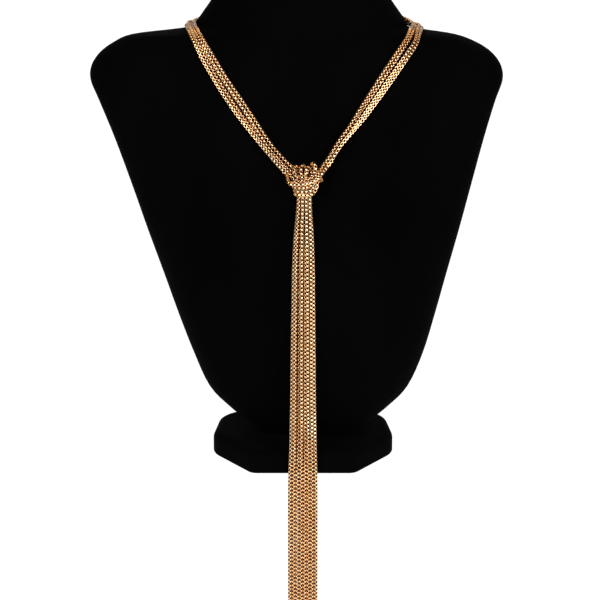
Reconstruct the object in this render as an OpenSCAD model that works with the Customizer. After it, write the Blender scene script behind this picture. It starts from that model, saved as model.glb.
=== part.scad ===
// A necklace of eight fine box chains on a velvet neck bust. The chains run from a clasp behind the neck
// down both shoulders, are tied in one knot on the chest and hang from it as a long tassel.
// X is the bust's right as seen from the front, the front looks along -Y, and the origin is the middle of
// the foot's underside.

/* [Bust] */
// Width of the chest form across the shoulders
bust_w = 230; // [200:1:260]
// Height of the chest form from its underside to the root of the neck
chest_h = 228; // [200:1:260]
// Depth of the chest form
bust_d = 108; // [90:1:130]
// Width of the neck at its narrowest
neck_w = 81; // [70:0.5:95]
// Depth of the neck at its narrowest
neck_d = 66.5; // [55:0.5:80]
// Height of the neck above its root
neck_h = 60; // [40:1:90]
// Distance of the neck's middle behind the middle of the foot
neck_y = 22.75; // [15:0.25:30]

/* [Foot] */
// Width of the six-sided foot across its side corners
foot_w = 104; // [96:1:130]
// Depth of the foot from its front side to its back
foot_d = 92; // [80:1:110]
// Width of the foot's front side
foot_front = 57; // [40:1:80]
// Width of the foot's back side
foot_back = 96; // [60:1:98]
// Distance of the side corners in front of the foot's middle
foot_corner = 6; // [0:0.5:10]
// Thickness of the foot
foot_h = 12; // [8:0.5:25]
// Radius of the foot's two front corners
foot_r = 6; // [2:0.5:12]
// Radius of the foot's two side corners
foot_side_r = 30; // [4:1:36]
// Radius of the foot's two back corners
foot_back_r = 22; // [4:0.5:24]
// Gap between the foot and the chest form that stands on it
seat_gap = 0.3; // [0.1:0.1:1]

/* [Chains] */
// Thickness of one chain
chain_w = 1.8; // [1.4:0.05:1.9]
// Gap between neighbouring chains round the neck
strand_gap = 0.2; // [0.1:0.05:0.4]

// Width of the tassel at its end, where all eight chains lie side by side
tassel_w = 16.1; // [15:0.1:20]
// Distance of the tassel's middle from the knot's, to the right
tassel_x = -0.6; // [-2:0.05:2]

/* [Clasp] */
// Length of the clasp along the neck
clasp_l = 12.2; // [8:0.1:12.6]
// Height of the clasp, over all four chains
clasp_w = 9; // [8:0.1:14]
// Thickness of the clasp
clasp_t = 3.1; // [2:0.1:3.4]
// Corner radius of the clasp
clasp_r = 1.5; // [0.5:0.1:3]

/* [Hidden] */
$fn = 48;

velvet = [0.05, 0.05, 0.06];
gold = [0.84, 0.64, 0.32];

chest_z = foot_h + seat_gap;
neck_z = chest_z + chest_h;
strand_pitch = chain_w + strand_gap;
fall_pitch = (tassel_w - chain_w) / 7;

// Sections of the chest from below: height as a share of chest_h, half width and middle as shares of
// bust_w, front and back as shares of bust_d, and the roundness power of the outline
chest_rows = [
    [0.000, 0.122, 0.014, -0.093, 0.315, 2.00],
    [0.0075, 0.143, 0.014, -0.139, 0.343, 2.00],
    [0.0295, 0.166, 0.014, -0.208, 0.370, 2.10],
    [0.065, 0.2035, 0.014, -0.273, 0.398, 2.20],
    [0.118, 0.2485, 0.014, -0.333, 0.421, 2.30],
    [0.206, 0.284, 0.0135, -0.398, 0.444, 2.40],
    [0.303, 0.315, 0.0095, -0.433, 0.463, 2.40],
    [0.404, 0.3455, 0.0055, -0.441, 0.481, 2.40],
    [0.514, 0.380, 0.001, -0.426, 0.491, 2.40],
    [0.624, 0.4135, -0.0035, -0.389, 0.500, 2.40],
    [0.734, 0.449, -0.009, -0.333, 0.509, 2.35],
    [0.8225, 0.481, -0.014, -0.287, 0.519, 2.30],
    [0.871, 0.500, -0.0155, -0.259, 0.528, 2.25],
    [0.906, 0.4975, -0.0165, -0.236, 0.537, 2.20],
    [0.937, 0.4765, -0.0175, -0.213, 0.546, 2.15],
    [0.961, 0.442, -0.0195, -0.190, 0.551, 2.10],
    [0.979, 0.397, -0.023, -0.171, 0.556, 2.10],
    [0.990, 0.315, -0.013, -0.159, 0.556, 2.05],
    [0.999, 0.262, -0.0065, -0.153, 0.556, 2.00]];

// Sections of the neck from its root: height as a share of neck_h, half width and middle as shares of
// neck_w, front and back as shares of neck_d from neck_y, and the roundness power
neck_rows = [
    [0.045, 0.7235, -0.0125, -0.580, 0.553, 2.00],
    [0.145, 0.671, -0.0125, -0.560, 0.538, 2.00],
    [0.262, 0.6115, -0.0125, -0.538, 0.523, 2.00],
    [0.428, 0.5495, -0.0125, -0.515, 0.508, 2.00],
    [0.662, 0.5125, -0.0125, -0.500, 0.500, 2.00],
    [0.895, 0.500, -0.0125, -0.500, 0.500, 2.00],
    [0.972, 0.4815, -0.0125, -0.483, 0.485, 2.00],
    [1.000, 0.432, -0.0125, -0.432, 0.440, 2.00]];

// The chains' one route list. Its rows hold, in order:
// the middle of the knot; the two bundles round the neck from the clasp, as place, outward direction,
// extra gap in the middle and rise of every second chain; the left and then the right chains' points in
// the knot, from its middle; the tassel's rows as height, share of its spread, and depths of its front and
// back layer; and for each chain its side step at the top, its place from the left at the tassel's end,
// and 1 if it starts in the back layer
chain_route = [
    [0.4, -46.5, 163.1],
    [[[-7.5, 60.3, 250.2], [0, 10, 1], 0, 0],
     [[-19.6, 58.2, 249.4], [-3, 9.5, 1.5], 0, 0],
     [[-35.2, 53, 247.4], [-5, 7.5, 3], 0, 0],
     [[-49.2, 45, 244.9], [-6, 5, 6], 0, 0],
     [[-60.5, 34, 242], [-4, 1.5, 9], 0, 0.6],
     [[-63, 20, 241.2], [-2, 0, 10], 0, 1.3],
     [[-61.4, 6, 240.3], [-2, -1, 10], 0, 1.3],
     [[-59.8, -6.8, 239.25], [-2.5, -3.5, 9], 0, 1.35],
     [[-56.4, -16.6, 234.6], [-2.5, -8, 4.5], 0, 1],
     [[-50.8, -22.2, 225], [-2.5, -9, 2.6], 0, 0],
     [[-42.6, -27.8, 212], [-2.5, -9, 2], 0.2, 0],
     [[-32.8, -32.4, 198.2], [-2, -9.5, 2], 0.3, 0]],
    [[[5.5, 60.3, 250.2], [0, 10, 1], 0, 0],
     [[17.6, 58.2, 249.4], [3, 9.5, 1.5], 0, 0],
     [[33.2, 53, 247.4], [5, 7.5, 3], 0, 0],
     [[47.3, 44.8, 244.9], [6, 5, 6], 0, 0],
     [[59.2, 34, 241.6], [5, 2.5, 8], 0, 0.5],
     [[63.6, 20, 240.1], [2.2, 0, 10], 0, 1],
     [[62.3, 6, 239.4], [1.8, -1, 10], 0, 0.8],
     [[60.9, -4.9, 238.55], [2.5, -4, 8], 0.1, 0.7],
     [[58.5, -13.7, 233.9], [2.5, -8, 4.5], 0.5, 0.7],
     [[51.8, -21, 224.8], [2.5, -9, 2.6], 0.3, 0],
     [[42.4, -27, 211.8], [2.5, -9, 2], 0.1, 0]],
    [[[-22.2, 7.9, 16.8], [-15.6, 6.6, 9.0], [-11.1, 5.2, 4.3], [-9.1, 3.2, 2.0], [-8.6, 0.6, 0.3],
      [-8.3, -1.9, -0.8], [-7.0, -4.0, -1.9], [-4.6, -4.9, -2.0], [-1.8, -5.2, -1.9], [0.9, -5.3, -1.6],
      [3.5, -5.4, -0.8], [6.1, -5.4, 0.4], [7.8, -5.3, 1.4], [8.9, -4.5, 1.5], [9.3, -2.8, 0.6],
      [9.3, -0.4, -0.2], [8.3, 1.4, -0.9], [6.4, 1.8, -1.8], [4.7, 1.5, -3.5], [3.5, 1.1, -5.4],
      [3.25, 1.0, -8.0]],
     [[-21.6, 5.9, 18.0], [-14.6, 4.5, 10.1], [-9.9, 3.3, 5.3], [-7.2, 1.8, 2.3], [-4.95, 1.0, 0.1],
      [-3.3, 0.9, -2.0], [-2.8, 0.9, -4.6], [-2.65, 0.9, -8.0]],
     [[-20.3, 7.9, 18.3], [-13.8, 6.6, 10.6], [-9.6, 5.5, 6.2], [-6.3, 3.3, 3.9], [-2.9, 1.4, 1.6],
      [-1.1, 1.0, -1.4], [-0.8, 1.0, -4.6], [-0.7, 1.0, -8.0]],
     [[-18.7, 7.9, 19.6], [-12.3, 6.6, 12.0], [-8.1, 5.6, 7.6], [-4.4, 3.2, 5.0], [-0.9, 1.3, 2.7],
      [0.8, 1.0, -0.6], [1.2, 1.0, -4.4], [1.25, 1.0, -8.0]]],
    [[[30.4, 13.6, 36.8], [24.5, 9.7, 27.8], [18.1, 5.7, 19.3], [13.0, 4.1, 11.1], [10.2, 2.0, 7.8],
      [8.3, -1.1, 5.0], [6.0, -3.5, 2.9], [3.0, -3.5, 1.2], [-0.8, -3.2, 0.0], [-3.7, -3.0, -0.8],
      [-6.4, -1.2, -1.2], [-6.0, 1.6, -1.6], [-3.2, 3.2, -1.7], [-1.2, 3.4, 0.2], [-1.0, 3.8, 2.8],
      [-1.6, 4.0, 4.9], [-2.9, 3.6, 6.4], [-4.3, 2.3, 7.0], [-5.1, 0.6, 6.6], [-5.1, -0.9, 5.2],
      [-4.4, -1.3, 3.0], [-3.4, -1.1, 0.2], [-2.8, -1.0, -3.4], [-2.65, -1.0, -8.0]],
     [[33.1, 13.7, 34.8], [26.5, 9.8, 26.3], [19.8, 5.7, 17.9], [14.5, 4.2, 9.7], [11.7, 2.2, 6.3],
      [9.6, -0.9, 3.5], [7.0, -2.7, 1.2], [5.4, -3.4, -0.9], [3.2, -3.4, -2.8], [0.7, -3.3, -3.7],
      [-2.0, -3.3, -3.9], [-4.5, -2.6, -3.75], [-5.6, -0.4, -3.7], [-5.1, 2.0, -3.7], [-2.4, 3.2, -3.8],
      [0.5, 3.2, -2.8], [1.6, 3.2, 0.0], [1.9, 3.4, 3.2], [1.2, 3.4, 5.5], [0.2, 2.5, 7.1],
      [-0.8, 0.7, 7.6], [-1.5, -0.9, 6.4], [-1.6, -1.3, 4.2], [-1.1, -1.1, 0.8], [-0.85, -1.0, -3.4],
      [-0.75, -1.0, -8.0]],
     [[31.5, 15.1, 35.8], [25.2, 11.8, 27.2], [18.1, 7.8, 18.9], [12.9, 6.1, 10.4], [9.9, 3.8, 6.8],
      [7.6, 1.0, 4.6], [5.6, 0.5, 2.2], [5.15, -0.3, -0.2], [5.0, -1.7, -2.9], [3.6, -2.95, -5.2],
      [0.8, -3.2, -5.75], [-2.0, -3.2, -5.9], [-4.1, -2.5, -5.7], [-5.0, -0.3, -5.6], [-4.5, 2.1, -5.65],
      [-2.0, 3.2, -5.75], [1.2, 3.2, -5.0], [3.3, 3.2, -3.0], [3.7, 3.2, 0.2], [3.9, 3.4, 3.0],
      [3.7, 3.3, 4.9], [2.9, 2.3, 6.3], [1.9, 0.5, 6.7], [1.2, -1.0, 5.6], [0.8, -1.3, 3.7],
      [1.0, -1.1, 0.6], [1.2, -1.0, -3.4], [1.2, -1.0, -8.0]],
     [[34.3, 15.1, 33.7], [27.2, 11.9, 25.6], [19.7, 7.8, 17.4], [14.4, 6.2, 9.0], [11.5, 3.8, 5.2],
      [9.1, 1.1, 3.0], [7.3, 0.3, 1.2], [7.0, -0.2, -1.0], [6.9, -0.6, -3.1], [6.2, -1.4, -5.2],
      [4.8, -2.5, -7.0], [2.8, -3.1, -7.8], [0.4, -3.2, -7.9], [-2.2, -3.1, -7.8], [-4.0, -2.5, -7.6],
      [-4.8, -0.4, -7.5], [-4.3, 1.9, -7.55], [-1.8, 3.2, -7.65], [1.6, 3.2, -7.2], [4.3, 3.4, -5.8],
      [5.6, 3.7, -3.4], [5.8, 3.7, 0.4], [5.8, 3.5, 3.4], [5.5, 3.6, 5.6], [4.6, 3.2, 7.3],
      [4.2, 2.0, 8.3], [4.7, 0.6, 8.8], [5.7, -0.5, 8.1], [6.2, -1.1, 6.7], [5.9, -1.2, 4.9],
      [4.9, -1.3, 3.1], [3.5, -1.1, 1.1], [3.15, -1.0, -1.4], [3.1, -1.0, -4.4], [3.1, -1.0, -8.0]]],
    [[146, 0.11, -47.9, -45.7], [134, 0.34, -49.4, -47.3], [118, 0.52, -50.4, -48.4],
     [98, 0.59, -51.1, -49.1], [70, 0.67, -51.2, -49.2], [40, 0.74, -51.2, -49.2],
     [15, 0.84, -51.2, -49.2], [-5, 0.98, -51.2, -49.2], [-38, 1, -51.2, -49.2],
     [-75, 1, -51.2, -49.2]],
    [[[3.25, 7, 1], [-2.65, 0, 1], [-0.7, 2, 1], [1.25, 4, 1]],
     [[-2.65, 1, 0], [-0.75, 3, 0], [1.2, 5, 0], [3.1, 6, 0]]]];
// Row of each chain in its bundle, from the shoulder to the neck
strand_rows = [[0, 1, 2, 3], [0, 2, 1, 3]];
// Largest distance that a tube's straight lengths keep from the curve, and longest of them
chord_tol = 0.1;
chord_max = 28;
tube_sides = 8;
bust_sides = 40;

function unit(v) = v / norm(v);
function sgnpow(v, p) = sign(v) * pow(abs(v), p);

// A smooth curve through a list of points or rows, with n steps a span
function smooth_at(a, b, c, d, t) =
    0.5 * (2 * b + (c - a) * t + (2 * a - 5 * b + 4 * c - d) * t * t + (3 * b - a - 3 * c + d) * t * t * t);
function smooth(rows, n) = concat(
    [for (i = [0:len(rows) - 2]) for (j = [0:n - 1])
        smooth_at(rows[max(i - 1, 0)], rows[i], rows[i + 1], rows[min(i + 2, len(rows) - 1)], j / n)],
    [rows[len(rows) - 1]]);

// Points of an outline with its corners rounded, each by its own radius
function round_outline(points, radii) = [
    for (i = [0:len(points) - 1])
        let (
            p = points[i],
            r = radii[i],
            u = unit(points[(i + len(points) - 1) % len(points)] - p),
            v = unit(points[(i + 1) % len(points)] - p),
            half = acos(u * v) / 2,
            mid = p + unit(u + v) * r / sin(half),
            from = p + u * r / tan(half) - mid,
            to = p + v * r / tan(half) - mid
        )
        for (k = [0:6]) mid + unit(from * (6 - k) + to * k) * r];

// A closed skin over rings of n points each, with flat ends
module skin(rings, n) {
    last = len(rings) - 1;
    polyhedron(
        points = [for (ring = rings) for (p = ring) p],
        faces = concat(
            [[for (k = [0:n - 1]) k]],
            [for (i = [0:last - 1]) for (k = [0:n - 1]) each
                [[i * n + k, (i + 1) * n + k, (i + 1) * n + (k + 1) % n],
                 [i * n + k, (i + 1) * n + (k + 1) % n, i * n + (k + 1) % n]]],
            [[for (k = [n - 1:-1:0]) last * n + k]]));
}

// One section of the bust as a ring of points
function bust_ring(row) =
    let (
        z = row[0], w = row[1], x = row[2],
        y = (row[3] + row[4]) / 2, d = (row[4] - row[3]) / 2, p = 2 / row[5]
    )
    [for (k = [0:bust_sides - 1])
        let (a = 360 * k / bust_sides) [x + w * sgnpow(cos(a), p), y + d * sgnpow(sin(a), p), z]];

bust_rows = concat(
    [for (r = chest_rows) [chest_z + r[0] * chest_h, r[1] * bust_w, r[2] * bust_w, r[3] * bust_d,
                           r[4] * bust_d, r[5]]],
    [for (r = neck_rows) [neck_z + r[0] * neck_h, r[1] * neck_w, r[2] * neck_w, neck_y + r[3] * neck_d,
                          neck_y + r[4] * neck_d, r[5]]]);

// Neck, shoulders and chest, one closed velvet form
module neck_bust() {
    color(velvet) skin([for (row = smooth(bust_rows, 2)) bust_ring(row)], bust_sides);
}

// Low six-sided foot with rounded corners, its narrow side to the front
module bust_foot() {
    color(velvet) linear_extrude(foot_h)
        polygon(round_outline(
            [[-foot_front / 2, -foot_d / 2], [foot_front / 2, -foot_d / 2], [foot_w / 2, -foot_corner],
             [foot_back / 2, foot_d / 2], [-foot_back / 2, foot_d / 2], [-foot_w / 2, -foot_corner]],
            [foot_r, foot_r, foot_side_r, foot_back_r, foot_back_r, foot_side_r]));
}

// Side direction of a bundle at station i, from the shoulder to the neck
function bundle_side(way, i) = unit(cross(unit(way[i][1]),
    unit(way[min(i + 1, len(way) - 1)][0] - way[max(i - 1, 0)][0])));

// Place of a chain in its bundle at one station: row 0 is the leftmost, and rows lie closer where every
// second one is raised
function bundle_place(way, i, row, raised) =
    let (
        side = bundle_side(way, i),
        from_middle = row - 1.5,
        rise = way[i][3],
        pitch = sqrt(strand_pitch * strand_pitch - rise * rise)
    )
    way[i][0] + side * (from_middle * pitch + sign(from_middle) * way[i][2])
        + unit(way[i][1]) * (raised ? rise : 0);

// Share of the way that a back chain of the tassel comes forward as its neighbours make room
function slide(spread) = 1 - sqrt(1 - pow(min(1, spread * fall_pitch / strand_pitch), 2));

// All points of one chain: round the neck, through the knot and down the tassel
function chain_points(side, k) =
    let (
        knot = chain_route[0],
        way = chain_route[1 + side],
        row = strand_rows[side][k],
        fall = chain_route[6][side][k],
        end = tassel_x + (fall[1] - 3.5) * fall_pitch
    )
    concat(
        [for (i = [0:len(way) - 1]) bundle_place(way, i, row, (row + side) % 2 == 1)],
        [for (p = chain_route[3 + side][k]) knot + p],
        [for (f = chain_route[5])
            let (back = fall[2] * (1 - slide(f[1])))
            [knot[0] + fall[0] + (end - fall[0]) * f[1], f[2] + (f[3] - f[2]) * back, f[0]]]);

// Share of a ring that the step from point i of a fine path needs: more where the path bends
function step_need(path, i) =
    let (
        a = path[max(i - 1, 0)],
        b = path[i],
        c = path[i + 1],
        length = norm(c - b),
        turn = i == 0 ? 0 : acos(min(1, unit(b - a) * unit(c - b))) * PI / 180
    )
    max(sqrt(turn * length / (8 * chord_tol)), length / chord_max);

function path_need(path) =
    [for (i = 0, s = 0; i < len(path); s = s + (i < len(path) - 1 ? step_need(path, i) : 0), i = i + 1) s];

// The tube's rings: places along a fine path, close together where it bends
function tube_places(path) =
    let (need = path_need(path), total = need[len(need) - 1], n = ceil(total))
    [for (k = [0:n])
        [for (axis = [0:2]) lookup(total * k / n, [for (i = [0:len(path) - 1]) [need[i], path[i][axis]]])]];

function tube_dirs(places) =
    let (last = len(places) - 1)
    [for (i = [0:last])
        unit((i > 0 ? unit(places[i] - places[i - 1]) : [0, 0, 0])
            + (i < last ? unit(places[i + 1] - places[i]) : [0, 0, 0]))];

// One side direction a ring, carried along the path without a twist
function carry(v, t) = unit(v - (v * t) * t);
function tube_sides_dir(dirs) =
    [for (i = 0, v = carry([0, 0, 1], dirs[0]); i < len(dirs);
        v = i < len(dirs) - 1 ? carry(v, dirs[i + 1]) : v, i = i + 1) v];

module tube(points) {
    places = tube_places(smooth(points, 8));
    dirs = tube_dirs(places);
    sides = tube_sides_dir(dirs);
    skin(
        [for (i = [0:len(places) - 1])
            let (u = sides[i], v = cross(dirs[i], u))
            [for (k = [0:tube_sides - 1])
                let (a = 360 * k / tube_sides) places[i] + (u * cos(a) + v * sin(a)) * chain_w / 2]],
        tube_sides);
}

module chain(side, k) {
    color(gold) tube(chain_points(side, k));
}

module left_chain_1() { chain(0, 0); }
module left_chain_2() { chain(0, 1); }
module left_chain_3() { chain(0, 2); }
module left_chain_4() { chain(0, 3); }
module right_chain_1() { chain(1, 0); }
module right_chain_2() { chain(1, 1); }
module right_chain_3() { chain(1, 2); }
module right_chain_4() { chain(1, 3); }

// Plain closed clasp behind the neck, between the ends of the two bundles
module clasp() {
    left_end = chain_route[1][0][0];
    right_end = chain_route[2][0][0];
    middle = (left_end + right_end) / 2;
    lean = atan2(chain_route[1][0][1][2], chain_route[1][0][1][1]);
    color(gold) translate(middle) rotate([lean, 0, 0]) rotate([90, 0, 0])
        translate([0, 0, -clasp_t / 2]) linear_extrude(clasp_t)
            polygon(round_outline([[-clasp_l / 2, -clasp_w / 2], [clasp_l / 2, -clasp_w / 2],
                                   [clasp_l / 2, clasp_w / 2], [-clasp_l / 2, clasp_w / 2]],
                                  [for (i = [0:3]) clasp_r]));
}

neck_bust();
bust_foot();
left_chain_1();
left_chain_2();
left_chain_3();
left_chain_4();
right_chain_1();
right_chain_2();
right_chain_3();
right_chain_4();
clasp();
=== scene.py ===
import math
import bpy
from mathutils import Matrix, Vector


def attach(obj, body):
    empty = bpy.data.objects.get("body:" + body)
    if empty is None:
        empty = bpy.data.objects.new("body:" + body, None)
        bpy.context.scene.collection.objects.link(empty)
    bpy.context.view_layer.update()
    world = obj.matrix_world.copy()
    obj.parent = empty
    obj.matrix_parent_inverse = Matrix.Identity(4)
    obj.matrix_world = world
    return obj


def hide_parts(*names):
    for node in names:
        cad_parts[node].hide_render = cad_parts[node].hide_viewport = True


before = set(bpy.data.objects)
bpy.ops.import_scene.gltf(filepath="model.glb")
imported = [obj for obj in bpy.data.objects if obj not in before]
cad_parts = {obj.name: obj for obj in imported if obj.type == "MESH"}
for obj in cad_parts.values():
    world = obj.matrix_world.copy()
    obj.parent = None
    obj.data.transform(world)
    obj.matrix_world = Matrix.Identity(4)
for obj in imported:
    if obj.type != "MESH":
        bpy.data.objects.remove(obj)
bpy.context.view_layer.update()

# Camera and studio light
# The photographer stands a metre in front of the bust and looks down a little on the knot. Three soft
# boxes in a dim room give the small plates of the metal bright and dark sides.
eye = Vector((-0.0017, -1.0241, 0.3056))
look_down = math.radians(12)
camera = bpy.data.cameras.new("photo_camera")
camera.lens = 111.1
camera.sensor_width = 36
camera.clip_end = 60


def put_in_scene(name, data):
    """A new object in the scene, at its origin, that shows a camera, a lamp or a mesh."""
    thing = bpy.data.objects.new(name, data)
    bpy.context.scene.collection.objects.link(thing)
    return thing


photographer = put_in_scene("photo_camera", camera)
photographer.location = eye
photographer.rotation_euler = (math.radians(90) - look_down, 0, 0)
bpy.context.scene.camera = photographer
bpy.context.scene.view_settings.view_transform = "Standard"
chest_middle = Vector((0, -0.04, 0.16))


def soft_box(name, place, wide, high, power):
    """A rectangular lamp that faces the middle of the chest."""
    lamp = bpy.data.lights.new(name, "AREA")
    lamp.shape = "RECTANGLE"
    lamp.size = wide
    lamp.size_y = high
    lamp.energy = power
    box = put_in_scene(name, lamp)
    box.location = place
    box.rotation_euler = (chest_middle - Vector(place)).to_track_quat("-Z", "Y").to_euler()


soft_box("key_box", (-0.55, -1.2, 1.0), 0.95, 0.95, 28)
soft_box("fill_box", (0.8, -1.1, 0.45), 0.6, 0.8, 16)
soft_box("top_box", (0.1, 0.1, 1.4), 0.5, 0.4, 2)

room = bpy.data.worlds.new("dim_room")
room.use_nodes = True
glow = room.node_tree.nodes["Background"]
glow.inputs["Color"].default_value = (1, 0.5, 0.2, 1)
glow.inputs["Strength"].default_value = 0.1
bpy.context.scene.world = room

# Velvet bust: neck, shoulders and chest
# A hollow pressed form with black velvet glued all over it, the nap brushed downwards. The sections are
# those of the solid, drawn finer, so that the cloth runs over it without facets.
# One millimetre in the scene's metres, and the bust's sizes in millimetres
MM = 0.001
foot_h, seat_gap = 12, 0.3
bust_w, bust_d, chest_h = 230, 108, 228
neck_w, neck_d, neck_h, neck_y = 81, 66.5, 60, 22.75
chest_z = foot_h + seat_gap
neck_z = chest_z + chest_h
bust_sides, bust_steps = 120, 4
# Sizes of the rings that close a flat end, as shares of its edge
cap_shares = (0.93, 0.7, 0.35)
# Sections of the chest from below: height as a share of chest_h, half width and middle as shares of
# bust_w, front and back as shares of bust_d, and the roundness power of the outline
chest_rows = [
    [0.000, 0.122, 0.014, -0.093, 0.315, 2.00],
    [0.0075, 0.143, 0.014, -0.139, 0.343, 2.00],
    [0.0295, 0.166, 0.014, -0.208, 0.370, 2.10],
    [0.065, 0.2035, 0.014, -0.273, 0.398, 2.20],
    [0.118, 0.2485, 0.014, -0.333, 0.421, 2.30],
    [0.206, 0.284, 0.0135, -0.398, 0.444, 2.40],
    [0.303, 0.315, 0.0095, -0.433, 0.463, 2.40],
    [0.404, 0.3455, 0.0055, -0.441, 0.481, 2.40],
    [0.514, 0.380, 0.001, -0.426, 0.491, 2.40],
    [0.624, 0.4135, -0.0035, -0.389, 0.500, 2.40],
    [0.734, 0.449, -0.009, -0.333, 0.509, 2.35],
    [0.8225, 0.481, -0.014, -0.287, 0.519, 2.30],
    [0.871, 0.500, -0.0155, -0.259, 0.528, 2.25],
    [0.906, 0.4975, -0.0165, -0.236, 0.537, 2.20],
    [0.937, 0.4765, -0.0175, -0.213, 0.546, 2.15],
    [0.961, 0.442, -0.0195, -0.190, 0.551, 2.10],
    [0.979, 0.397, -0.023, -0.171, 0.556, 2.10],
    [0.990, 0.315, -0.013, -0.159, 0.556, 2.05],
    [0.999, 0.262, -0.0065, -0.153, 0.556, 2.00],
]
# Sections of the neck from its root: the same shares of neck_h, neck_w and neck_d, whose front and back
# are counted from neck_y, and the roundness power
neck_rows = [
    [0.045, 0.7235, -0.0125, -0.580, 0.553, 2.00],
    [0.145, 0.671, -0.0125, -0.560, 0.538, 2.00],
    [0.262, 0.6115, -0.0125, -0.538, 0.523, 2.00],
    [0.428, 0.5495, -0.0125, -0.515, 0.508, 2.00],
    [0.662, 0.5125, -0.0125, -0.500, 0.500, 2.00],
    [0.895, 0.500, -0.0125, -0.500, 0.500, 2.00],
    [0.972, 0.4815, -0.0125, -0.483, 0.485, 2.00],
    [1.000, 0.432, -0.0125, -0.432, 0.440, 2.00],
]


def smooth_rows(rows, steps):
    """Rows of numbers on a smooth curve through these rows, with that many steps a span."""
    out = []
    last = len(rows) - 1
    for i in range(last):
        a, b, c, d = rows[max(i - 1, 0)], rows[i], rows[i + 1], rows[min(i + 2, last)]
        for j in range(steps):
            t = j / steps
            out.append([
                q + 0.5 * t * ((r - p) + t * ((2 * p - 5 * q + 4 * r - s) + t * (3 * q - p - 3 * r + s)))
                for p, q, r, s in zip(a, b, c, d)
            ])
    out.append(list(rows[last]))
    return out


def close_rings(name, rings):
    """A closed object over rings of points in millimetres, lowest first, its ends drawn in to a middle."""
    count = len(rings[0])
    verts = [p for ring in rings for p in ring]
    faces = []
    for i in range(len(rings) - 1):
        for k in range(count):
            m = (k + 1) % count
            faces.append((i * count + k, i * count + m, (i + 1) * count + m, (i + 1) * count + k))
    for ring_no, turn in ((0, 1), (len(rings) - 1, -1)):
        ring = rings[ring_no]
        middle = [sum(p[a] for p in ring) / count for a in range(3)]
        edge = [ring_no * count + k for k in range(count)]
        for share in cap_shares:
            inner = []
            for p in ring:
                inner.append(len(verts))
                verts.append([m + (q - m) * share for q, m in zip(p, middle)])
            for k in range(count):
                m = (k + 1) % count
                faces.append((edge[k], inner[k], inner[m], edge[m])[::turn])
            edge = inner
        tip = len(verts)
        verts.append(middle)
        for k in range(count):
            faces.append((edge[k], tip, edge[(k + 1) % count])[::turn])
    mesh = bpy.data.meshes.new(name)
    mesh.from_pydata([[q * MM for q in p] for p in verts], [], faces)
    mesh.polygons.foreach_set("use_smooth", [True] * len(mesh.polygons))
    mesh.update()
    return put_in_scene(name, mesh)


def bust_ring(row):
    """One section of the bust as a ring of points."""
    z, half, middle, front, back, power = row
    depth = (back - front) / 2
    ring = []
    for k in range(bust_sides):
        a = 2 * math.pi * k / bust_sides
        c, s = math.cos(a), math.sin(a)
        ring.append([
            middle + half * math.copysign(abs(c) ** (2 / power), c),
            (front + back) / 2 + depth * math.copysign(abs(s) ** (2 / power), s),
            z,
        ])
    return ring


bust_rows = [
    [chest_z + z * chest_h, w * bust_w, x * bust_w, f * bust_d, b * bust_d, p]
    for z, w, x, f, b, p in chest_rows
]
bust_rows += [
    [neck_z + z * neck_h, w * neck_w, x * neck_w, neck_y + f * neck_d, neck_y + b * neck_d, p]
    for z, w, x, f, b, p in neck_rows
]
velvet_bust = close_rings("velvet_bust", [bust_ring(row) for row in smooth_rows(bust_rows, bust_steps)])


def add_node(tree, kind, values=None, **settings):
    """A new node of a tree: its settings first, then the values of its sockets."""
    node = tree.nodes.new(kind)
    for setting, value in settings.items():
        setattr(node, setting, value)
    for socket, value in (values or {}).items():
        node.inputs[socket].default_value = value
    return node


def two_tones(tree, low, low_colour, high, high_colour):
    """A colour ramp between two colours, at two places."""
    ramp = add_node(tree, "ShaderNodeValToRGB")
    for stop, place, colour in zip(ramp.color_ramp.elements, (low, high), (low_colour, high_colour)):
        stop.position = place
        stop.color = (*colour, 1)
    return ramp


def black_velvet(name, dark, pale):
    """Black velvet: a dull pile with cloudy brushing, a fine grain and a faint sheen at its edges."""
    velvet = bpy.data.materials.new(name)
    velvet.use_nodes = True
    tree = velvet.node_tree
    join = tree.links.new
    shader = tree.nodes["Principled BSDF"]
    shader.inputs["Roughness"].default_value = 0.95
    shader.inputs["Specular IOR Level"].default_value = 0.01
    shader.inputs["Sheen Weight"].default_value = 0.002
    shader.inputs["Sheen Roughness"].default_value = 0.35
    shader.inputs["Sheen Tint"].default_value = (0.85, 0.85, 1.0, 1)
    place = add_node(tree, "ShaderNodeTexCoord")
    downwards = add_node(tree, "ShaderNodeMapping", {"Scale": (1, 1, 0.45)})
    brushed = add_node(tree, "ShaderNodeTexNoise", {"Scale": 22, "Detail": 3})
    tone = two_tones(tree, 0.3, (dark, dark, dark), 0.75, (pale, pale, pale))
    join(place.outputs["Object"], downwards.inputs["Vector"])
    join(downwards.outputs["Vector"], brushed.inputs["Vector"])
    join(brushed.outputs["Fac"], tone.inputs["Fac"])
    join(tone.outputs["Color"], shader.inputs["Base Color"])
    pile = add_node(tree, "ShaderNodeTexNoise", {"Scale": 1800, "Detail": 2})
    grain = add_node(tree, "ShaderNodeBump", {"Strength": 0.5, "Distance": 0.0004})
    join(place.outputs["Object"], pile.inputs["Vector"])
    join(pile.outputs["Fac"], grain.inputs["Height"])
    join(grain.outputs["Normal"], shader.inputs["Normal"])
    return velvet


bust_velvet = black_velvet("bust_velvet", 0.0004, 0.0009)
velvet_bust.data.materials.append(bust_velvet)
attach(velvet_bust, "root")
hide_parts("neck_bust")

# Foot of the bust
# A low six-sided board under the chest, covered in velvet, which rounds its top edge and its corners. Its
# velvet is a paler copy of the bust's, painted light for the light that falls on the foot's top. Its narrow
# side faces the front.
foot_w, foot_d, foot_front, foot_back, foot_corner = 104, 92, 57, 96, 6
foot_r, foot_side_r, foot_back_r = 6, 30, 22
low_edge, top_edge = 0.5, 4.5
corner_steps, low_steps, top_steps = 8, 4, 8
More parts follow.
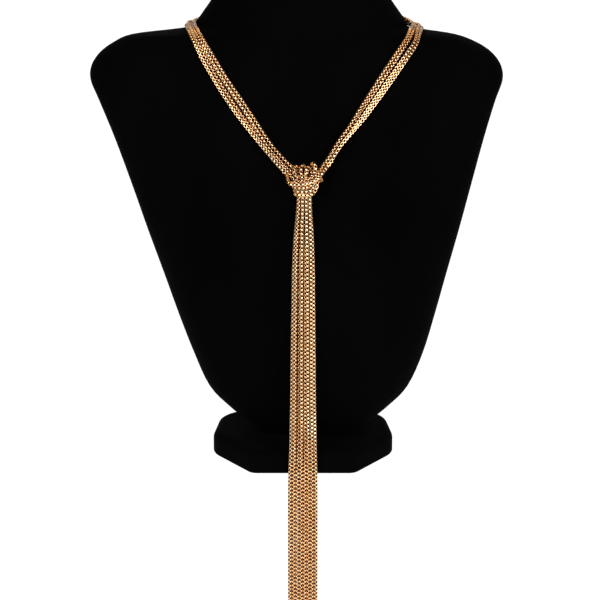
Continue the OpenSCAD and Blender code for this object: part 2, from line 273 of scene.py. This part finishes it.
# Corners of the foot with their radii, from the front left one
foot_corners = [
    (-foot_front / 2, -foot_d / 2, foot_r), (foot_front / 2, -foot_d / 2, foot_r),
    (foot_w / 2, -foot_corner, foot_side_r), (foot_back / 2, foot_d / 2, foot_back_r),
    (-foot_back / 2, foot_d / 2, foot_back_r), (-foot_w / 2, -foot_corner, foot_side_r),
]


def foot_ring(z, inset):
    """The foot's outline at one height, drawn in by the inset, each corner rounded by its own radius."""
    ring = []
    for k, (x, y, r) in enumerate(foot_corners):
        corner = Vector((x, y))
        before = (Vector(foot_corners[k - 1][:2]) - corner).normalized()
        after = (Vector(foot_corners[(k + 1) % len(foot_corners)][:2]) - corner).normalized()
        half = before.angle(after) / 2
        middle = corner + (before + after).normalized() * (r / math.sin(half))
        first = corner + before * (r / math.tan(half)) - middle
        last = corner + after * (r / math.tan(half)) - middle
        for j in range(corner_steps + 1):
            out = (first * (corner_steps - j) + last * j).normalized() * (r - inset)
            ring.append([middle.x + out.x, middle.y + out.y, z])
    return ring


def round_edge(radius, steps):
    """A rounded edge from the side up to the face: distances from the face and from the side."""
    turns = [math.radians(90 * k / steps) for k in range(steps + 1)]
    return [(radius * (1 - math.sin(a)), radius * (1 - math.cos(a))) for a in turns]


foot_rings = [foot_ring(below, inset) for below, inset in round_edge(low_edge, low_steps)[::-1]]
foot_rings += [foot_ring(foot_h - below, inset) for below, inset in round_edge(top_edge, top_steps)]
velvet_foot = close_rings("velvet_foot", foot_rings)
# Painted light: the same velvet painted paler, for the light that falls on the foot's top
lit_foot_velvet = black_velvet("lit_foot_velvet", 0.0006, 0.0012)
velvet_foot.data.materials.append(lit_foot_velvet)
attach(velvet_foot, "root")
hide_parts("bust_foot")

# Eight box chains
# Each chain is a run of small square links bent from flat strip, every second one turned a quarter.
# The chains lie side by side round the neck, are tied in one knot and hang as the tassel.
strands = 4
chain_w, strand_gap = 1.8, 0.2
strand_pitch = chain_w + strand_gap
tassel_w, tassel_x = 16.1, -0.6
tassel_gaps = 2 * strands - 1
fall_pitch = (tassel_w - chain_w) / tassel_gaps
# The one route list, as in the solids. Its rows hold, in order: the middle of the knot; the two bundles
# round the neck, as place, outward direction, extra gap in the middle and rise of every second chain;
# the left and then the right chains' points in the knot, from its middle; the tassel's rows as height,
# share of its spread, and depths of its front and back layer; and for each chain its side step at the
# top, its place from the left at the tassel's end, and 1 if it starts in the back layer
chain_route = [
    [0.4, -46.5, 163.1],
    [[[-7.5, 60.3, 250.2], [0, 10, 1], 0, 0],
     [[-19.6, 58.2, 249.4], [-3, 9.5, 1.5], 0, 0],
     [[-35.2, 53, 247.4], [-5, 7.5, 3], 0, 0],
     [[-49.2, 45, 244.9], [-6, 5, 6], 0, 0],
     [[-60.5, 34, 242], [-4, 1.5, 9], 0, 0.6],
     [[-63, 20, 241.2], [-2, 0, 10], 0, 1.3],
     [[-61.4, 6, 240.3], [-2, -1, 10], 0, 1.3],
     [[-59.8, -6.8, 239.25], [-2.5, -3.5, 9], 0, 1.35],
     [[-56.4, -16.6, 234.6], [-2.5, -8, 4.5], 0, 1],
     [[-50.8, -22.2, 225], [-2.5, -9, 2.6], 0, 0],
     [[-42.6, -27.8, 212], [-2.5, -9, 2], 0.2, 0],
     [[-32.8, -32.4, 198.2], [-2, -9.5, 2], 0.3, 0]],
    [[[5.5, 60.3, 250.2], [0, 10, 1], 0, 0],
     [[17.6, 58.2, 249.4], [3, 9.5, 1.5], 0, 0],
     [[33.2, 53, 247.4], [5, 7.5, 3], 0, 0],
     [[47.3, 44.8, 244.9], [6, 5, 6], 0, 0],
     [[59.2, 34, 241.6], [5, 2.5, 8], 0, 0.5],
     [[63.6, 20, 240.1], [2.2, 0, 10], 0, 1],
     [[62.3, 6, 239.4], [1.8, -1, 10], 0, 0.8],
     [[60.9, -4.9, 238.55], [2.5, -4, 8], 0.1, 0.7],
     [[58.5, -13.7, 233.9], [2.5, -8, 4.5], 0.5, 0.7],
     [[51.8, -21, 224.8], [2.5, -9, 2.6], 0.3, 0],
     [[42.4, -27, 211.8], [2.5, -9, 2], 0.1, 0]],
    [[[-22.2, 7.9, 16.8], [-15.6, 6.6, 9.0], [-11.1, 5.2, 4.3], [-9.1, 3.2, 2.0], [-8.6, 0.6, 0.3],
      [-8.3, -1.9, -0.8], [-7.0, -4.0, -1.9], [-4.6, -4.9, -2.0], [-1.8, -5.2, -1.9], [0.9, -5.3, -1.6],
      [3.5, -5.4, -0.8], [6.1, -5.4, 0.4], [7.8, -5.3, 1.4], [8.9, -4.5, 1.5], [9.3, -2.8, 0.6],
      [9.3, -0.4, -0.2], [8.3, 1.4, -0.9], [6.4, 1.8, -1.8], [4.7, 1.5, -3.5], [3.5, 1.1, -5.4],
      [3.25, 1.0, -8.0]],
     [[-21.6, 5.9, 18.0], [-14.6, 4.5, 10.1], [-9.9, 3.3, 5.3], [-7.2, 1.8, 2.3], [-4.95, 1.0, 0.1],
      [-3.3, 0.9, -2.0], [-2.8, 0.9, -4.6], [-2.65, 0.9, -8.0]],
     [[-20.3, 7.9, 18.3], [-13.8, 6.6, 10.6], [-9.6, 5.5, 6.2], [-6.3, 3.3, 3.9], [-2.9, 1.4, 1.6],
      [-1.1, 1.0, -1.4], [-0.8, 1.0, -4.6], [-0.7, 1.0, -8.0]],
     [[-18.7, 7.9, 19.6], [-12.3, 6.6, 12.0], [-8.1, 5.6, 7.6], [-4.4, 3.2, 5.0], [-0.9, 1.3, 2.7],
      [0.8, 1.0, -0.6], [1.2, 1.0, -4.4], [1.25, 1.0, -8.0]]],
    [[[30.4, 13.6, 36.8], [24.5, 9.7, 27.8], [18.1, 5.7, 19.3], [13.0, 4.1, 11.1], [10.2, 2.0, 7.8],
      [8.3, -1.1, 5.0], [6.0, -3.5, 2.9], [3.0, -3.5, 1.2], [-0.8, -3.2, 0.0], [-3.7, -3.0, -0.8],
      [-6.4, -1.2, -1.2], [-6.0, 1.6, -1.6], [-3.2, 3.2, -1.7], [-1.2, 3.4, 0.2], [-1.0, 3.8, 2.8],
      [-1.6, 4.0, 4.9], [-2.9, 3.6, 6.4], [-4.3, 2.3, 7.0], [-5.1, 0.6, 6.6], [-5.1, -0.9, 5.2],
      [-4.4, -1.3, 3.0], [-3.4, -1.1, 0.2], [-2.8, -1.0, -3.4], [-2.65, -1.0, -8.0]],
     [[33.1, 13.7, 34.8], [26.5, 9.8, 26.3], [19.8, 5.7, 17.9], [14.5, 4.2, 9.7], [11.7, 2.2, 6.3],
      [9.6, -0.9, 3.5], [7.0, -2.7, 1.2], [5.4, -3.4, -0.9], [3.2, -3.4, -2.8], [0.7, -3.3, -3.7],
      [-2.0, -3.3, -3.9], [-4.5, -2.6, -3.75], [-5.6, -0.4, -3.7], [-5.1, 2.0, -3.7], [-2.4, 3.2, -3.8],
      [0.5, 3.2, -2.8], [1.6, 3.2, 0.0], [1.9, 3.4, 3.2], [1.2, 3.4, 5.5], [0.2, 2.5, 7.1],
      [-0.8, 0.7, 7.6], [-1.5, -0.9, 6.4], [-1.6, -1.3, 4.2], [-1.1, -1.1, 0.8], [-0.85, -1.0, -3.4],
      [-0.75, -1.0, -8.0]],
     [[31.5, 15.1, 35.8], [25.2, 11.8, 27.2], [18.1, 7.8, 18.9], [12.9, 6.1, 10.4], [9.9, 3.8, 6.8],
      [7.6, 1.0, 4.6], [5.6, 0.5, 2.2], [5.15, -0.3, -0.2], [5.0, -1.7, -2.9], [3.6, -2.95, -5.2],
      [0.8, -3.2, -5.75], [-2.0, -3.2, -5.9], [-4.1, -2.5, -5.7], [-5.0, -0.3, -5.6], [-4.5, 2.1, -5.65],
      [-2.0, 3.2, -5.75], [1.2, 3.2, -5.0], [3.3, 3.2, -3.0], [3.7, 3.2, 0.2], [3.9, 3.4, 3.0],
      [3.7, 3.3, 4.9], [2.9, 2.3, 6.3], [1.9, 0.5, 6.7], [1.2, -1.0, 5.6], [0.8, -1.3, 3.7],
      [1.0, -1.1, 0.6], [1.2, -1.0, -3.4], [1.2, -1.0, -8.0]],
     [[34.3, 15.1, 33.7], [27.2, 11.9, 25.6], [19.7, 7.8, 17.4], [14.4, 6.2, 9.0], [11.5, 3.8, 5.2],
      [9.1, 1.1, 3.0], [7.3, 0.3, 1.2], [7.0, -0.2, -1.0], [6.9, -0.6, -3.1], [6.2, -1.4, -5.2],
      [4.8, -2.5, -7.0], [2.8, -3.1, -7.8], [0.4, -3.2, -7.9], [-2.2, -3.1, -7.8], [-4.0, -2.5, -7.6],
      [-4.8, -0.4, -7.5], [-4.3, 1.9, -7.55], [-1.8, 3.2, -7.65], [1.6, 3.2, -7.2], [4.3, 3.4, -5.8],
      [5.6, 3.7, -3.4], [5.8, 3.7, 0.4], [5.8, 3.5, 3.4], [5.5, 3.6, 5.6], [4.6, 3.2, 7.3],
      [4.2, 2.0, 8.3], [4.7, 0.6, 8.8], [5.7, -0.5, 8.1], [6.2, -1.1, 6.7], [5.9, -1.2, 4.9],
      [4.9, -1.3, 3.1], [3.5, -1.1, 1.1], [3.15, -1.0, -1.4], [3.1, -1.0, -4.4], [3.1, -1.0, -8.0]]],
    [[146, 0.11, -47.9, -45.7], [134, 0.34, -49.4, -47.3], [118, 0.52, -50.4, -48.4],
     [98, 0.59, -51.1, -49.1], [70, 0.67, -51.2, -49.2], [40, 0.74, -51.2, -49.2],
     [15, 0.84, -51.2, -49.2], [-5, 0.98, -51.2, -49.2], [-38, 1, -51.2, -49.2],
     [-75, 1, -51.2, -49.2]],
    [[[3.25, 7, 1], [-2.65, 0, 1], [-0.7, 2, 1], [1.25, 4, 1]],
     [[-2.65, 1, 0], [-0.75, 3, 0], [1.2, 5, 0], [3.1, 6, 0]]],
]
# Row of each chain in its bundle, from the shoulder to the neck
strand_rows = [[0, 1, 2, 3], [0, 2, 1, 3]]


def chain_points(side, k):
    """The chosen points of one chain, from the clasp through the knot to its free end, in millimetres."""
    knot = Vector(chain_route[0])
    way = chain_route[1 + side]
    row = strand_rows[side][k]
    from_middle = row - (strands - 1) / 2
    top, order, layer = chain_route[6][side][k]
    end = tassel_x + (order - tassel_gaps / 2) * fall_pitch
    points = []
    for i, (place, outward, gap, rise) in enumerate(way):
        along = Vector(way[min(i + 1, len(way) - 1)][0]) - Vector(way[max(i - 1, 0)][0])
        up = Vector(outward).normalized()
        across = up.cross(along.normalized()).normalized()
        pitch = math.sqrt(strand_pitch ** 2 - rise ** 2)
        step = from_middle * pitch + math.copysign(gap, from_middle)
        points.append(Vector(place) + across * step + up * (rise if (row + side) % 2 else 0))
    points += [knot + Vector(p) for p in chain_route[3 + side][k]]
    for z, share, front, back in chain_route[5]:
        behind = layer * math.sqrt(1 - min(1, share * fall_pitch / strand_pitch) ** 2)
        points.append(Vector((knot.x + top + (end - top) * share, front + (back - front) * behind, z)))
    return points


link_long, link_wide, link_corner, least_corner = 1.57, 1.87, 0.38, 0.1
strip_wide, strip_dome, side_thick, end_thick = 1.22, 0.12, 0.325, 0.24
link_pitch = 1.08


def box_link():
    """One link: a strip bent to a square in the X-Z plane, domed outside and round at the corners."""
    half = strip_wide / 2
    # The strip's section: inset from the link's outline, place across the strip, and the painted shade of the
    # face that starts there, darker for faces that lie further inside the chain. The first three faces are
    # the domed outside.
    section = [
        (strip_dome, -half, 0.15), (strip_dome * 0.25, -half * 0.5, 0), (strip_dome * 0.25, half * 0.5, 0.15),
        (strip_dome, half, 0.4), (side_thick, half, 1), (side_thick, -half, 0.4),
    ]
    domed = 3
    # Painted shade at a corner, an end, a corner and a side of the link, darker where it lies further inside
    # the chain
    ring_shade = (0.6, 0.9, 0.6, 0)
    verts, faces, painted_shade, smooth = [], [], [], []
    for i, (inset, across, deep) in enumerate(section):
        x = link_wide / 2 - inset
        z = link_long / 2 - inset * end_thick / side_thick
        r = max(link_corner - inset, least_corner)
        outline = [(x, z - r), (x - r, z), (r - x, z), (-x, z - r)]
        outline += [(-px, -pz) for px, pz in outline]
        verts += [(px * MM, across * MM, pz * MM) for px, pz in outline]
        count, after = len(outline), (i + 1) % len(section)
        for k in range(count):
            m = (k + 1) % count
            faces.append((i * count + k, i * count + m, after * count + m, after * count + k))
            painted_shade.append(max(deep, ring_shade[k % 4]))
            smooth.append(i < domed)
    mesh = bpy.data.meshes.new("box_link")
    mesh.from_pydata(verts, [], faces)
    # Painted shade: each face keeps how dark its gold is painted, for the shade where the links hide each
    # other
    mesh.attributes.new("painted_shade", "FLOAT", "FACE").data.foreach_set("value", painted_shade)
    mesh.polygons.foreach_set("use_smooth", smooth)
    mesh.update()
    return put_in_scene("box_link", mesh)


# The links are broader at the tassel's ends, up to low_z in metres, than from high_z up
low_width, high_width = 1.03, 0.94
low_z, high_z = -0.02, 0.14
# A chain rolls to and fro within slow_roll, in waves of about 80 links that start at another place for
# each chain, and each link sits askew by up to link_wobble
slow_roll, link_wobble = math.radians(14), math.radians(2.5)
wave_link, wave_chain = 0.012, 7.3


def link_tree():
    """Lays links along a path: evenly spaced, every second one turned a quarter, with a slow roll."""
    tree = bpy.data.node_groups.new("box_chain", "GeometryNodeTree")
    for name, kind in (
        ("Path", "Geometry"), ("Link", "Object"), ("Links", "Int"), ("Roll", "Float"), ("Slow roll", "Float"),
        ("Wobble", "Float"), ("Low end", "Float"), ("High end", "Float"), ("Low width", "Float"),
        ("High width", "Float"), ("Seed", "Int"), ("Metal", "Material"),
    ):
        tree.interface.new_socket(name=name, in_out="INPUT", socket_type="NodeSocket" + kind)
    tree.interface.new_socket(name="Chain", in_out="OUTPUT", socket_type="NodeSocketGeometry")
    join = tree.links.new
    given = add_node(tree, "NodeGroupInput").outputs

    # Places of the links along the path
    curve = add_node(tree, "GeometryNodeMeshToCurve")
    spread = add_node(tree, "GeometryNodeResampleCurve")
    shape = add_node(tree, "GeometryNodeObjectInfo")
    lay = add_node(tree, "GeometryNodeInstanceOnPoints")
    join(given["Path"], curve.inputs["Mesh"])
    join(curve.outputs["Curve"], spread.inputs["Curve"])
    join(given["Links"], spread.inputs["Count"])
    join(spread.outputs["Curve"], lay.inputs["Points"])
    join(given["Link"], shape.inputs["Object"])
    join(shape.outputs["Geometry"], lay.inputs["Instance"])

    # Each link stands along the path, its side towards the path's own facing
    along = add_node(tree, "GeometryNodeInputTangent")
    facing = add_node(tree, "GeometryNodeInputNamedAttribute", {"Name": "facing"}, data_type="FLOAT_VECTOR")
    stand = add_node(tree, "FunctionNodeAxesToRotation", primary_axis="Z", secondary_axis="X")
    join(along.outputs["Tangent"], stand.inputs["Primary Axis"])
    join(facing.outputs["Attribute"], stand.inputs["Secondary Axis"])

    # A quarter turn for every second link, and the chain's own roll
    number = add_node(tree, "GeometryNodeInputIndex")
    odd = add_node(tree, "ShaderNodeMath", {1: 2}, operation="MODULO")
    quarter = add_node(tree, "ShaderNodeMath", {1: math.pi / 2}, operation="MULTIPLY_ADD")
    join(number.outputs["Index"], odd.inputs[0])
    join(odd.outputs[0], quarter.inputs[0])
    join(given["Roll"], quarter.inputs[2])

    # The slow roll, a smooth wave that starts at another place for each seed
    start = add_node(tree, "ShaderNodeMath", {1: wave_chain}, operation="MULTIPLY")
    where = add_node(tree, "ShaderNodeMath", {1: wave_link}, operation="MULTIPLY_ADD")
    wave = add_node(tree, "ShaderNodeTexNoise", {"Scale": 1, "Detail": 0}, noise_dimensions="1D")
    swing = add_node(tree, "ShaderNodeMath", {1: 0.5}, operation="SUBTRACT")
    turned = add_node(tree, "ShaderNodeMath", operation="MULTIPLY_ADD")
    join(given["Seed"], start.inputs[0])
    join(number.outputs["Index"], where.inputs[0])
    join(start.outputs[0], where.inputs[2])
    join(where.outputs[0], wave.inputs["W"])
    join(wave.outputs["Fac"], swing.inputs[0])
    join(swing.outputs[0], turned.inputs[0])
    join(given["Slow roll"], turned.inputs[1])
    join(quarter.outputs[0], turned.inputs[2])

    # The wobble of each link
    less = add_node(tree, "ShaderNodeMath", {1: -1}, operation="MULTIPLY")
    wobble = add_node(tree, "FunctionNodeRandomValue", data_type="FLOAT_VECTOR")
    about = add_node(tree, "ShaderNodeCombineXYZ")
    total = add_node(tree, "ShaderNodeVectorMath", operation="ADD")
    as_turn = add_node(tree, "FunctionNodeEulerToRotation")
    turn = add_node(tree, "FunctionNodeRotateRotation", rotation_space="LOCAL")
    join(given["Wobble"], less.inputs[0])
    join(less.outputs[0], wobble.inputs["Min"])
    join(given["Wobble"], wobble.inputs["Max"])
    join(given["Seed"], wobble.inputs["Seed"])
    join(turned.outputs[0], about.inputs["Z"])
    join(about.outputs["Vector"], total.inputs[0])
    join(wobble.outputs["Value"], total.inputs[1])
    join(total.outputs["Vector"], as_turn.inputs["Euler"])
    join(stand.outputs["Rotation"], turn.inputs["Rotation"])
    join(as_turn.outputs["Rotation"], turn.inputs["Rotate By"])
    join(turn.outputs["Rotation"], lay.inputs["Rotation"])

    # Broader links at the tassel's ends
    spot = add_node(tree, "GeometryNodeInputPosition")
    height = add_node(tree, "ShaderNodeSeparateXYZ")
    width = add_node(tree, "ShaderNodeMapRange")
    stretch = add_node(tree, "ShaderNodeCombineXYZ", {"Z": 1})
    join(spot.outputs["Position"], height.inputs["Vector"])
    join(height.outputs["Z"], width.inputs["Value"])
    join(given["Low end"], width.inputs["From Min"])
    join(given["High end"], width.inputs["From Max"])
    join(given["Low width"], width.inputs["To Min"])
    join(given["High width"], width.inputs["To Max"])
    join(width.outputs["Result"], stretch.inputs["X"])
    join(width.outputs["Result"], stretch.inputs["Y"])
    join(stretch.outputs["Vector"], lay.inputs["Scale"])

    # Plain mesh and its metal
    real = add_node(tree, "GeometryNodeRealizeInstances")
    paint = add_node(tree, "GeometryNodeSetMaterial")
    out = add_node(tree, "NodeGroupOutput")
    join(lay.outputs["Instances"], real.inputs["Geometry"])
    join(real.outputs["Geometry"], paint.inputs["Geometry"])
    join(given["Metal"], paint.inputs["Material"])
    join(paint.outputs["Geometry"], out.inputs["Chain"])
    return tree


def gold_metal(name, pale, deep, smoothest, roughest):
    """Gold plate: small differences of colour and polish from place to place, fine wear scratches, and
    painted shade towards the inside of a chain.
    """
    metal = bpy.data.materials.new(name)
    metal.use_nodes = True
    tree = metal.node_tree
    join = tree.links.new
    shader = tree.nodes["Principled BSDF"]
    shader.inputs["Metallic"].default_value = 1
    place = add_node(tree, "ShaderNodeTexCoord")
    patches = add_node(tree, "ShaderNodeTexNoise", {"Scale": 260, "Detail": 2})
    plate = two_tones(tree, 0.3, deep, 0.7, pale)
    join(place.outputs["Object"], patches.inputs["Vector"])
    join(patches.outputs["Fac"], plate.inputs["Fac"])

    # Painted shade: faces darken to deep orange-brown towards the inside of a chain, by the shade stored on
    # the link's faces, and a piece without that attribute stays bright
    painted_shade = add_node(tree, "ShaderNodeAttribute", attribute_name="painted_shade")
    depth = two_tones(tree, 0, (1, 1, 1), 1, (0.14, 0.06, 0.02))
    half_shade = depth.color_ramp.elements.new(0.5)
    half_shade.color = (0.70, 0.46, 0.24, 1)
    painted_shade_mix = add_node(tree, "ShaderNodeMix", {"Factor": 1}, data_type="RGBA", blend_type="MULTIPLY")
    join(painted_shade.outputs["Fac"], depth.inputs["Fac"])
    join(plate.outputs["Color"], painted_shade_mix.inputs["A"])
    join(depth.outputs["Color"], painted_shade_mix.inputs["B"])
    join(painted_shade_mix.outputs["Result"], shader.inputs["Base Color"])

    polish = add_node(tree, "ShaderNodeMapRange", {"To Min": smoothest, "To Max": roughest})
    wear = add_node(tree, "ShaderNodeTexNoise", {"Scale": 5200, "Detail": 1})
    scratch = add_node(tree, "ShaderNodeBump", {"Strength": 0.12, "Distance": 0.00003})
    join(patches.outputs["Fac"], polish.inputs["Value"])
    join(polish.outputs["Result"], shader.inputs["Roughness"])
    join(place.outputs["Object"], wear.inputs["Vector"])
    join(wear.outputs["Fac"], scratch.inputs["Height"])
    join(scratch.outputs["Normal"], shader.inputs["Normal"])
    return metal


chain_gold = gold_metal("chain_gold", (0.96, 0.76, 0.51), (0.88, 0.64, 0.38), 0.20, 0.34)
one_link = box_link()
lay_links = link_tree()

# Steps in each span of a chain's smooth route, and how many of the tassel's rows are its upper ones
route_steps = 8
upper_rows = 6
# How each chain's plates are turned from facing the front, in degrees: in its bundle round the neck, in
# the tassel's upper rows and in its lower ones
chain_rolls = [
    [(0, 0, 40), (45, 45, 45), (5, 40, 50), (45, 10, 40)],
    [(45, 45, 42), (0, 5, 45), (45, 0, 45), (0, 0, 40)],
]


def plate_facing(path, wanted):
    """The side that the plates face at each point of a path, and the quarters that the last one moved by.

    A facing is wanted at some of the route's points and None at the others, where it is carried on. A link
    has four like sides, so the nearest of them meets each wanted facing.
    """
    last = len(path) - 1
    along = [(path[min(i + 1, last)] - path[max(i - 1, 0)]).normalized() for i in range(last + 1)]
    carried = [wanted[0].normalized()]
    for a in along:
        carried.append((carried[-1] - carried[-1].dot(a) * a).normalized())
    carried = carried[1:]
    places, turns = [], []
    quarters = 0
    for j, side in enumerate(wanted):
        if side is None:
            continue
        a, u = along[route_steps * j], carried[route_steps * j]
        turn = math.atan2(side.dot(a.cross(u)), side.dot(u))
        if turns:
            quarters = round((turn - turns[-1]) / (math.pi / 2))
            turn -= math.pi / 2 * quarters
        places.append(route_steps * j)
        turns.append(turn)
    facing = []
    for i in range(last + 1):
        n = max(m for m in range(len(places)) if places[m] <= i)
        turn = turns[n]
        if n + 1 < len(places):
            share = (i - places[n]) / (places[n + 1] - places[n])
            turn += (turns[n + 1] - turns[n]) * share
        facing.append(carried[i] * math.cos(turn) + along[i].cross(carried[i]) * math.sin(turn))
    return facing, quarters


def wanted_facings(path, side, k):
    """The side that a chain's plates should face at each point of its route, None inside the knot."""
    bundle_roll, upper_roll, lower_roll = (math.radians(roll) for roll in chain_rolls[side][k])
    wanted = []
    for i, (_, outward, _, _) in enumerate(chain_route[1 + side]):
        along = (path[route_steps * i + 1] - path[route_steps * i]).normalized()
        wanted.append(Matrix.Rotation(bundle_roll, 3, along) @ Vector(outward))
    wanted += [None] * len(chain_route[3 + side][k])
    lower_rows = len(chain_route[5]) - upper_rows
    for roll, rows in ((upper_roll, upper_rows), (lower_roll, lower_rows)):
        wanted += [Vector((math.sin(roll), -math.cos(roll), 0))] * rows
    return wanted


def make_chain(name, side, k, seed):
    """One chain from the clasp to its free end, as a plain mesh of its links."""
    path = [Vector(p) * MM for p in smooth_rows(chain_points(side, k), route_steps)]
    length = sum((b - a).length for a, b in zip(path, path[1:]))
    links_laid = round(length / (link_pitch * MM)) + 1
    facing, quarters = plate_facing(path, wanted_facings(path, side, k))
    # The last links of neighbours in the tassel are a quarter turn apart, so that they lie like bricks
    order = chain_route[6][side][k][1]
    roll = math.pi / 2 * ((links_laid + order + quarters) % 2)

    mesh = bpy.data.meshes.new(name + "_path")
    mesh.from_pydata(path, [(i, i + 1) for i in range(len(path) - 1)], [])
    faced = mesh.attributes.new("facing", "FLOAT_VECTOR", "POINT")
    faced.data.foreach_set("vector", [q for v in facing for q in v])
    guide = put_in_scene(name + "_path", mesh)
    laid = guide.modifiers.new("links", "NODES")
    laid.node_group = lay_links
    inputs = {
        "Link": one_link, "Links": links_laid, "Roll": roll, "Slow roll": slow_roll, "Wobble": link_wobble,
        "Low end": low_z, "High end": high_z, "Low width": low_width, "High width": high_width,
        "Seed": seed, "Metal": chain_gold,
    }
    for item in lay_links.interface.items_tree:
        if item.in_out == "INPUT" and item.name in inputs:
            laid[item.identifier] = inputs[item.name]
    bpy.context.view_layer.update()
    depsgraph = bpy.context.evaluated_depsgraph_get()
    links = bpy.data.meshes.new_from_object(guide.evaluated_get(depsgraph))
    guide.modifiers.remove(laid)
    bpy.data.objects.remove(guide)
    links.name = name
    return put_in_scene(name, links)


for side, hand in enumerate(("left", "right")):
    for k in range(strands):
        node = hand + "_chain_" + str(k + 1)
        chain = make_chain(node + "_links", side, k, strands * side + k + 1)
        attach(chain, "root")
        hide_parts(node)
bpy.data.objects.remove(one_link)

# Clasp behind the neck
# A plain closed bar of the same gold plate between the ends of the two bundles. Its edges are rounded.
clasp_l, clasp_w, clasp_t, clasp_r = 12.2, 9.0, 3.1, 1.5
clasp_edge = 0.6
clasp_corner_steps, clasp_edge_steps = 6, 4


def clasp_outline(inset):
    """The clasp's outline in its own flat X-Z plane, drawn in by the inset."""
    points = []
    for k, (sx, sz) in enumerate(((1, 1), (-1, 1), (-1, -1), (1, -1))):
        for j in range(clasp_corner_steps + 1):
            a = math.radians(90 * k + 90 * j / clasp_corner_steps)
            x = sx * (clasp_l / 2 - clasp_r) + (clasp_r - inset) * math.cos(a)
            z = sz * (clasp_w / 2 - clasp_r) + (clasp_r - inset) * math.sin(a)
            points.append((x, z))
    return points


left_end, right_end = Vector(chain_route[1][0][0]), Vector(chain_route[2][0][0])
clasp_middle = (left_end + right_end) / 2
lean = math.atan2(chain_route[1][0][1][2], chain_route[1][0][1][1])
clasp_rings = []
for side in (-1, 1):
    for below, inset in round_edge(clasp_edge, clasp_edge_steps)[::side]:
        y = side * (clasp_t / 2 - below)
        ring = []
        for x, z in clasp_outline(inset):
            ring.append([
                clasp_middle.x + x,
                clasp_middle.y + y * math.cos(lean) - z * math.sin(lean),
                clasp_middle.z + y * math.sin(lean) + z * math.cos(lean),
            ])
        clasp_rings.append(ring[::-1])
plain_clasp = close_rings("plain_clasp", clasp_rings)
clasp_gold = gold_metal("clasp_gold", (0.92, 0.65, 0.36), (0.85, 0.54, 0.26), 0.14, 0.26)
plain_clasp.data.materials.append(clasp_gold)
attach(plain_clasp, "root")
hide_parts("clasp")

# Studio floor
# A wide sheet, lower than the tassel's ends, with a wall behind and low ones at the sides. It glows
# evenly, so that it stays white round the bust and shows in the metal.
floor_z, wall_z, side_z = -0.082, 7, 3
reach = 12
sheet_grey, sheet_glow, sheet_roughness = 0.1, 1.0, 0.9
floor_mesh = bpy.data.meshes.new("studio_floor")
floor_mesh.from_pydata(
    [(-reach, -reach, floor_z), (reach, -reach, floor_z), (reach, reach, floor_z), (-reach, reach, floor_z),
     (-reach, reach, wall_z), (reach, reach, wall_z), (-reach, -reach, side_z), (reach, -reach, side_z),
     (-reach, reach, side_z), (reach, reach, side_z)],
    [], [(0, 1, 2, 3), (3, 2, 5, 4), (0, 3, 8, 6), (2, 1, 7, 9)],
)
studio_floor = put_in_scene("studio_floor", floor_mesh)
pale_sheet = bpy.data.materials.new("pale_floor")
pale_sheet.use_nodes = True
sheet = pale_sheet.node_tree.nodes["Principled BSDF"]
sheet.inputs["Base Color"].default_value = (sheet_grey, sheet_grey, sheet_grey, 1)
sheet.inputs["Roughness"].default_value = sheet_roughness
sheet.inputs["Emission Color"].default_value = (1, 1, 1, 1)
sheet.inputs["Emission Strength"].default_value = sheet_glow
floor_mesh.materials.append(pale_sheet)
